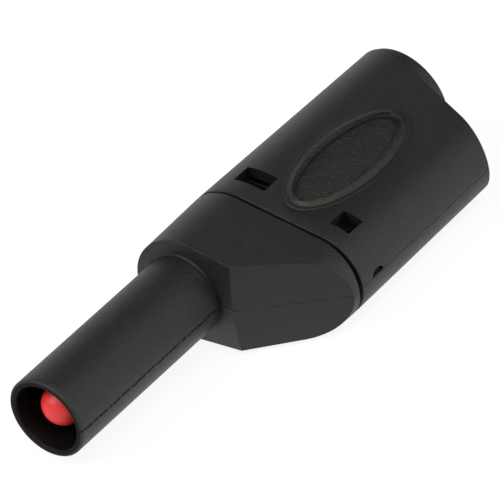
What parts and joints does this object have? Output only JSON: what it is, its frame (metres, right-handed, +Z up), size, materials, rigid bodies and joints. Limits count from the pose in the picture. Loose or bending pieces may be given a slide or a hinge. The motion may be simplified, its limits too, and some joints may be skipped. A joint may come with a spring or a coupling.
{
  "type": "stackable shrouded banana plug",
  "caption": "Stackable 4 mm banana plug: shroud tube round a sprung pin, snap-fit rear cover with thumb grips, a coaxial stacking socket and an oblique cable outlet.",
  "frame": {"origin": "middle of the bounding box, on the ground under the lower thumb grip's rim", "axes": "+Y rearward along the plug axis, from the shroud's mouth to the stacking socket; +X towards the cable side; +Z up from the lower wide face, on which the plug lies"},
  "size_m": [0.0196, 0.0546, 0.0116],
  "materials": {
    "black_plastic": "satin injection-moulded plastic with a fine spark-eroded grain",
    "black_plastic_cover": "satin injection-moulded plastic with a fine spark-eroded grain",
    "nickel_pin": "nickel-plated turned brass",
    "spring_metal": "nickel-plated copper-alloy strip",
    "red_plastic": "red moulded plastic, semi-gloss",
    "nickel_block": "nickel-plated machined brass",
    "steel_screw": "zinc-plated steel",
    "steel_washer": "zinc-plated spring steel",
    "nickel_socket": "nickel-plated turned brass",
    "black_insulator": "plain black moulded plastic"
  },
  "bodies": {
    "plug_body": {"front_housing": "black_plastic", "rear_cover": "black_plastic_cover", "plug_pin": "nickel_pin", "contact_spring": "spring_metal", "pin_tip": "red_plastic", "terminal_block": "nickel_block", "lock_washer": "steel_washer", "rear_socket": "nickel_socket", "socket_sleeve": "black_insulator"},
    "clamp_screw": {"clamp_screw": "steel_screw"}
  },
  "joints": [
    {"name": "clamp_screw_turn", "type": "hinge", "parent": "plug_body", "child": "clamp_screw", "pos_m": [0.00366, 0.00427, 0.00712], "axis": [0.1154, 0, 0.9933], "range_deg": [-2160, 180]}
  ]
}
